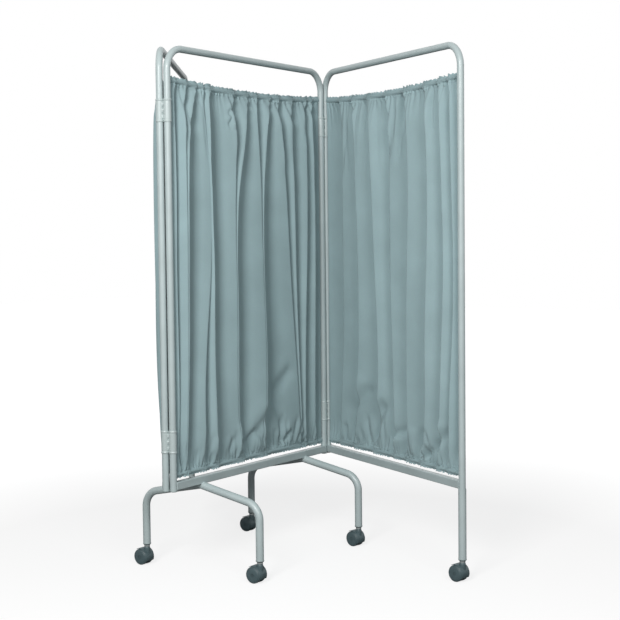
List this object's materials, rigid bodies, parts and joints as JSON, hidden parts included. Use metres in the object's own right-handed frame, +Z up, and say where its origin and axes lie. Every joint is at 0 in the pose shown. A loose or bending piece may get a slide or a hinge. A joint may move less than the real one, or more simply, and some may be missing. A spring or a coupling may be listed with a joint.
{
  "type": "ward privacy screen",
  "caption": "Folding ward privacy screen on swivel castors: bent tube frames joined by sheet metal hinge links, each with a gathered curtain on sprung wires.",
  "frame": {"origin": "on the floor under the middle of the whole screen's box as it stands", "axes": "+Z up, +X along the middle panel towards the wing that folds forward, +Y towards the rear"},
  "size_m": [0.9304, 1.304, 1.6996],
  "materials": {
    "powder_coat": "satin",
    "curtain_cloth": "matt weave",
    "spring_wire": "plastic covered spring steel",
    "plug_plastic": "moulded",
    "hinge_zinc": "satin",
    "castor_plastic": "moulded",
    "axle_steel": "ground"
  },
  "bodies": {
    "middle": {"middle_frame": "powder_coat", "middle_rail": "powder_coat", "middle_top_wire": "spring_wire", "middle_bottom_wire": "spring_wire", "middle_curtain": "curtain_cloth", "middle_left_plug": "plug_plastic", "middle_right_plug": "plug_plastic", "left_foot": "powder_coat", "right_foot": "powder_coat", "left_rear_castor_socket": "castor_plastic", "left_front_castor_socket": "castor_plastic", "right_rear_castor_socket": "castor_plastic", "right_front_castor_socket": "castor_plastic"},
    "left_hinges": {"left_lower_hinge_front_shell": "hinge_zinc", "left_lower_hinge_rear_shell": "hinge_zinc", "left_lower_hinge_rivet": "hinge_zinc", "left_upper_hinge_front_shell": "hinge_zinc", "left_upper_hinge_rear_shell": "hinge_zinc", "left_upper_hinge_rivet": "hinge_zinc"},
    "right_hinges": {"right_lower_hinge_front_shell": "hinge_zinc", "right_lower_hinge_rear_shell": "hinge_zinc", "right_lower_hinge_rivet": "hinge_zinc", "right_upper_hinge_front_shell": "hinge_zinc", "right_upper_hinge_rear_shell": "hinge_zinc", "right_upper_hinge_rivet": "hinge_zinc"},
    "left_wing": {"left_frame": "powder_coat", "left_rail": "powder_coat", "left_top_wire": "spring_wire", "left_bottom_wire": "spring_wire", "left_curtain": "curtain_cloth", "left_hinge_side_plug": "plug_plastic", "left_spigot_plug": "plug_plastic"},
    "right_wing": {"right_frame": "powder_coat", "right_rail": "powder_coat", "right_top_wire": "spring_wire", "right_bottom_wire": "spring_wire", "right_curtain": "curtain_cloth", "right_hinge_side_plug": "plug_plastic", "right_leg": "powder_coat", "right_wing_castor_socket": "castor_plastic"},
    "left_rear_castor_swivel": {"left_rear_castor_body": "castor_plastic", "left_rear_castor_axle": "axle_steel"},
    "left_rear_castor_left_wheel": {"left_rear_castor_left_wheel": "castor_plastic"},
    "left_rear_castor_right_wheel": {"left_rear_castor_right_wheel": "castor_plastic"},
    "left_front_castor_swivel": {"left_front_castor_body": "castor_plastic", "left_front_castor_axle": "axle_steel"},
    "left_front_castor_left_wheel": {"left_front_castor_left_wheel": "castor_plastic"},
    "left_front_castor_right_wheel": {"left_front_castor_right_wheel": "castor_plastic"},
    "right_rear_castor_swivel": {"right_rear_castor_body": "castor_plastic", "right_rear_castor_axle": "axle_steel"},
    "right_rear_castor_left_wheel": {"right_rear_castor_left_wheel": "castor_plastic"},
    "right_rear_castor_right_wheel": {"right_rear_castor_right_wheel": "castor_plastic"},
    "right_front_castor_swivel": {"right_front_castor_body": "castor_plastic", "right_front_castor_axle": "axle_steel"},
    "right_front_castor_left_wheel": {"right_front_castor_left_wheel": "castor_plastic"},
    "right_front_castor_right_wheel": {"right_front_castor_right_wheel": "castor_plastic"},
    "right_wing_castor_swivel": {"right_wing_castor_body": "castor_plastic", "right_wing_castor_axle": "axle_steel"},
    "right_wing_castor_left_wheel": {"right_wing_castor_left_wheel": "castor_plastic"},
    "right_wing_castor_right_wheel": {"right_wing_castor_right_wheel": "castor_plastic"}
  },
  "joints": [
    {"name": "left_link_turn", "type": "hinge", "parent": "middle", "child": "left_hinges", "pos_m": [-0.44421, 0.1352, 0.972], "axis": [0, 0, 1], "range_deg": [-4, 73.25]},
    {"name": "left_wing_turn", "type": "hinge", "parent": "left_hinges", "child": "left_wing", "pos_m": [-0.4517, 0.1601, 0.972], "axis": [0, 0, 1], "range_deg": [-4, 73.25]},
    {"name": "right_link_turn", "type": "hinge", "parent": "middle", "child": "right_hinges", "pos_m": [0.42579, 0.1352, 0.972], "axis": [0, 0, 1], "range_deg": [-4, 45]},
    {"name": "right_wing_turn", "type": "hinge", "parent": "right_hinges", "child": "right_wing", "pos_m": [0.45167, 0.13271, 0.972], "axis": [0, 0, 1], "range_deg": [0, 150]},
    {"name": "left_rear_castor_swivel_turn", "type": "hinge", "parent": "middle", "child": "left_rear_castor_swivel", "pos_m": [-0.30588, 0.3692, 0.08], "axis": [0, 0, 1], "continuous": true},
    {"name": "left_rear_castor_left_wheel_spin", "type": "hinge", "parent": "left_rear_castor_swivel", "child": "left_rear_castor_left_wheel", "pos_m": [-0.30529, 0.38619, 0.02697], "axis": [0.9994, -0.0349, 0], "continuous": true},
    {"name": "left_rear_castor_right_wheel_spin", "type": "hinge", "parent": "left_rear_castor_swivel", "child": "left_rear_castor_right_wheel", "pos_m": [-0.30529, 0.38619, 0.02697], "axis": [0.9994, -0.0349, 0], "continuous": true},
    {"name": "left_front_castor_swivel_turn", "type": "hinge", "parent": "middle", "child": "left_front_castor_swivel", "pos_m": [-0.30588, -0.0988, 0.08], "axis": [0, 0, 1], "continuous": true},
    {"name": "left_front_castor_left_wheel_spin", "type": "hinge", "parent": "left_front_castor_swivel", "child": "left_front_castor_left_wheel", "pos_m": [-0.30558, -0.0818, 0.02697], "axis": [0.9998, -0.0175, 0], "continuous": true},
    {"name": "left_front_castor_right_wheel_spin", "type": "hinge", "parent": "left_front_castor_swivel", "child": "left_front_castor_right_wheel", "pos_m": [-0.30558, -0.0818, 0.02697], "axis": [0.9998, -0.0175, 0], "continuous": true},
    {"name": "right_rear_castor_swivel_turn", "type": "hinge", "parent": "middle", "child": "right_rear_castor_swivel", "pos_m": [0.28746, 0.3692, 0.08], "axis": [0, 0, 1], "continuous": true},
    {"name": "right_rear_castor_left_wheel_spin", "type": "hinge", "parent": "right_rear_castor_swivel", "child": "right_rear_castor_left_wheel", "pos_m": [0.28805, 0.38619, 0.02697], "axis": [0.9994, -0.0349, 0], "continuous": true},
    {"name": "right_rear_castor_right_wheel_spin", "type": "hinge", "parent": "right_rear_castor_swivel", "child": "right_rear_castor_right_wheel", "pos_m": [0.28805, 0.38619, 0.02697], "axis": [0.9994, -0.0349, 0], "continuous": true},
    {"name": "right_front_castor_swivel_turn", "type": "hinge", "parent": "middle", "child": "right_front_castor_swivel", "pos_m": [0.28746, -0.0988, 0.08], "axis": [0, 0, 1], "continuous": true},
    {"name": "right_front_castor_left_wheel_spin", "type": "hinge", "parent": "right_front_castor_swivel", "child": "right_front_castor_left_wheel", "pos_m": [0.29012, -0.08201, 0.02697], "axis": [0.9877, -0.1564, 0], "continuous": true},
    {"name": "right_front_castor_right_wheel_spin", "type": "hinge", "parent": "right_front_castor_swivel", "child": "right_front_castor_right_wheel", "pos_m": [0.29012, -0.08201, 0.02697], "axis": [0.9877, -0.1564, 0], "continuous": true},
    {"name": "right_wing_castor_swivel_turn", "type": "hinge", "parent": "right_wing", "child": "right_wing_castor_swivel", "pos_m": [0.04323, -0.63546, 0.08], "axis": [0, 0, 1], "continuous": true},
    {"name": "right_wing_castor_left_wheel_spin", "type": "hinge", "parent": "right_wing_castor_swivel", "child": "right_wing_castor_left_wheel", "pos_m": [0.04648, -0.61877, 0.02697], "axis": [0.9816, -0.1908, 0], "continuous": true},
    {"name": "right_wing_castor_right_wheel_spin", "type": "hinge", "parent": "right_wing_castor_swivel", "child": "right_wing_castor_right_wheel", "pos_m": [0.04648, -0.61877, 0.02697], "axis": [0.9816, -0.1908, 0], "continuous": true}
  ]
}
